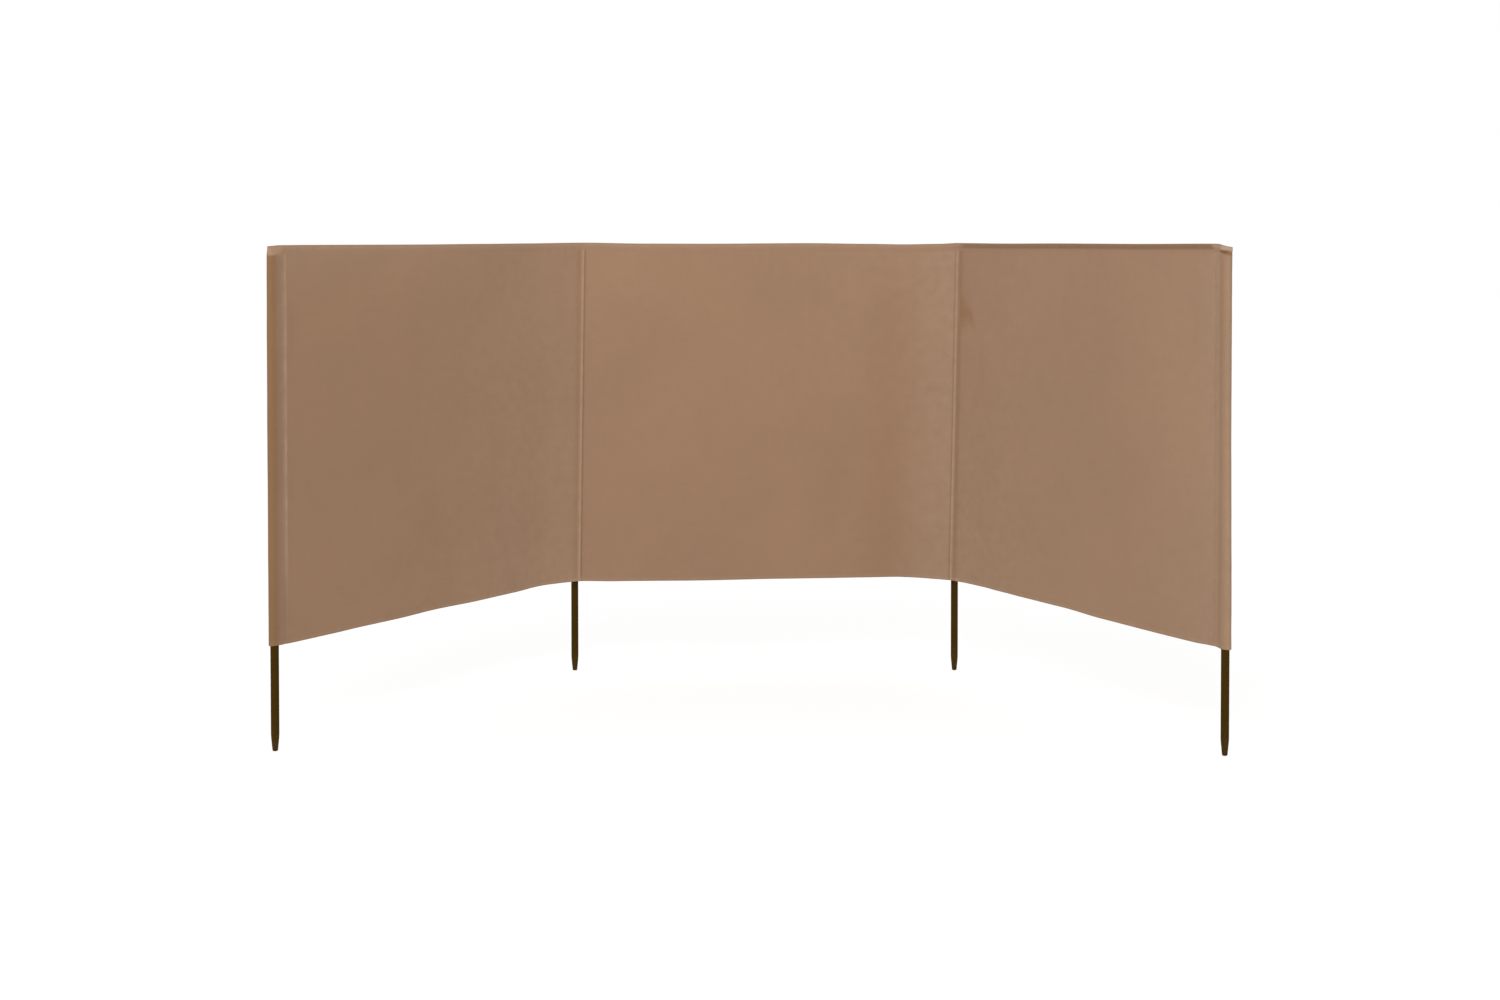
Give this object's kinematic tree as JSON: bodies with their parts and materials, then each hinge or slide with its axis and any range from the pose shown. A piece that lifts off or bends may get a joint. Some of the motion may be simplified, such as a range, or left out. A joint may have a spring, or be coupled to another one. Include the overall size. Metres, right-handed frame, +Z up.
{
  "type": "fabric windbreak",
  "caption": "free-standing cloth windbreak in bays, with hemmed panels sewn into sleeves on round ground poles with tapered tips",
  "frame": {"origin": "centre of the flat end of the left inner pole's tip", "axes": "+Z up along the poles, +X along the middle bay from the left inner pole to the right one, -Y to the sheltered front"},
  "size_m": [2.873, 1.1827, 1.52],
  "materials": {
    "cloth": "matte",
    "pole": "satin"
  },
  "bodies": {
    "root": {"left_panel": "cloth", "middle_panel": "cloth", "right_panel": "cloth", "left_top_hem": "cloth", "middle_top_hem": "cloth", "right_top_hem": "cloth", "left_bottom_hem": "cloth", "middle_bottom_hem": "cloth", "right_bottom_hem": "cloth", "left_end_sleeve": "cloth", "left_inner_sleeve": "cloth", "right_inner_sleeve": "cloth", "right_end_sleeve": "cloth", "left_end_sleeve_top": "cloth", "left_inner_sleeve_top": "cloth", "right_inner_sleeve_top": "cloth", "right_end_sleeve_top": "cloth", "left_seam": "cloth", "right_seam": "cloth", "left_sleeve_flap": "cloth", "right_sleeve_flap": "cloth", "left_end_pole": "pole", "left_inner_pole": "pole", "right_inner_pole": "pole", "right_end_pole": "pole"}
  },
  "joints": []
}
